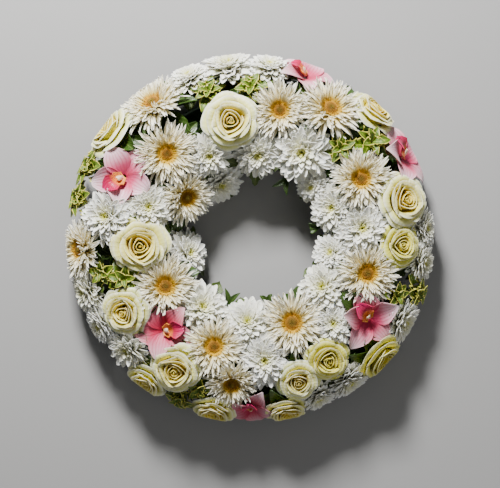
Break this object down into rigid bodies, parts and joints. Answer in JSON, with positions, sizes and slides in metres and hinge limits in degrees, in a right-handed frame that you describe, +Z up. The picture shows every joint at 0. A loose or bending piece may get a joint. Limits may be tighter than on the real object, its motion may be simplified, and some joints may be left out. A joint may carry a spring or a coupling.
{
  "type": "funeral flower wreath",
  "caption": "Round wreath of fresh roses, gerberas, chrysanthemums and orchids with leafy stems, set in a foam ring in a shallow tray; lies flat on a surface.",
  "frame": {"origin": "on the ring's axis at the tray's flat underside", "axes": "+Z up out of the wreath's face, +Y towards the top of the wreath as it is read, +X to its right"},
  "size_m": [0.4383, 0.4383, 0.0935],
  "materials": {
    "gerbera_petals": "soft matte, cream white",
    "gerbera_eye": "matte, golden brown",
    "rose_petals": "velvety, cream white with a yellow heart",
    "orchid_petals": "waxy, pale pink with a magenta lip",
    "chrysanthemum_petals": "soft matte, white",
    "leaf": "satin, green with a cream edge",
    "foam": "matte, fine-celled",
    "tray": "smooth, dark green"
  },
  "bodies": {
    "root": {"gerbera_01": "gerbera_petals", "gerbera_02": "gerbera_petals", "gerbera_03": "gerbera_petals", "gerbera_04": "gerbera_petals", "gerbera_05": "gerbera_petals", "gerbera_06": "gerbera_petals", "gerbera_07": "gerbera_petals", "gerbera_08": "gerbera_petals", "gerbera_09": "gerbera_petals", "gerbera_10": "gerbera_petals", "gerbera_11": "gerbera_petals", "gerbera_12": "gerbera_petals", "gerbera_eye_01": "gerbera_eye", "gerbera_eye_02": "gerbera_eye", "gerbera_eye_03": "gerbera_eye", "gerbera_eye_04": "gerbera_eye", "gerbera_eye_05": "gerbera_eye", "gerbera_eye_06": "gerbera_eye", "gerbera_eye_07": "gerbera_eye", "gerbera_eye_08": "gerbera_eye", "gerbera_eye_09": "gerbera_eye", "gerbera_eye_10": "gerbera_eye", "gerbera_eye_11": "gerbera_eye", "gerbera_eye_12": "gerbera_eye", "rose_stem_01": "rose_petals", "rose_stem_02": "rose_petals", "rose_stem_03": "rose_petals", "rose_stem_04": "rose_petals", "rose_stem_05": "rose_petals", "rose_stem_06": "rose_petals", "rose_stem_07": "rose_petals", "rose_stem_08": "rose_petals", "rose_stem_09": "rose_petals", "rose_stem_10": "rose_petals", "rose_stem_11": "rose_petals", "rose_stem_12": "rose_petals", "orchid_01": "orchid_petals", "orchid_02": "orchid_petals", "orchid_03": "orchid_petals", "orchid_04": "orchid_petals", "orchid_05": "orchid_petals", "orchid_06": "orchid_petals", "chrysanthemum_spray_01": "chrysanthemum_petals", "chrysanthemum_spray_02": "chrysanthemum_petals", "chrysanthemum_spray_03": "chrysanthemum_petals", "chrysanthemum_spray_04": "chrysanthemum_petals", "chrysanthemum_spray_05": "chrysanthemum_petals", "chrysanthemum_spray_06": "chrysanthemum_petals", "chrysanthemum_spray_07": "chrysanthemum_petals", "chrysanthemum_spray_08": "chrysanthemum_petals", "chrysanthemum_spray_09": "chrysanthemum_petals", "chrysanthemum_spray_10": "chrysanthemum_petals", "leafy_stem_01": "leaf", "leafy_stem_02": "leaf", "leafy_stem_03": "leaf", "leafy_stem_04": "leaf", "leafy_stem_05": "leaf", "leafy_stem_06": "leaf", "foam_ring": "foam", "tray": "tray"}
  },
  "joints": []
}
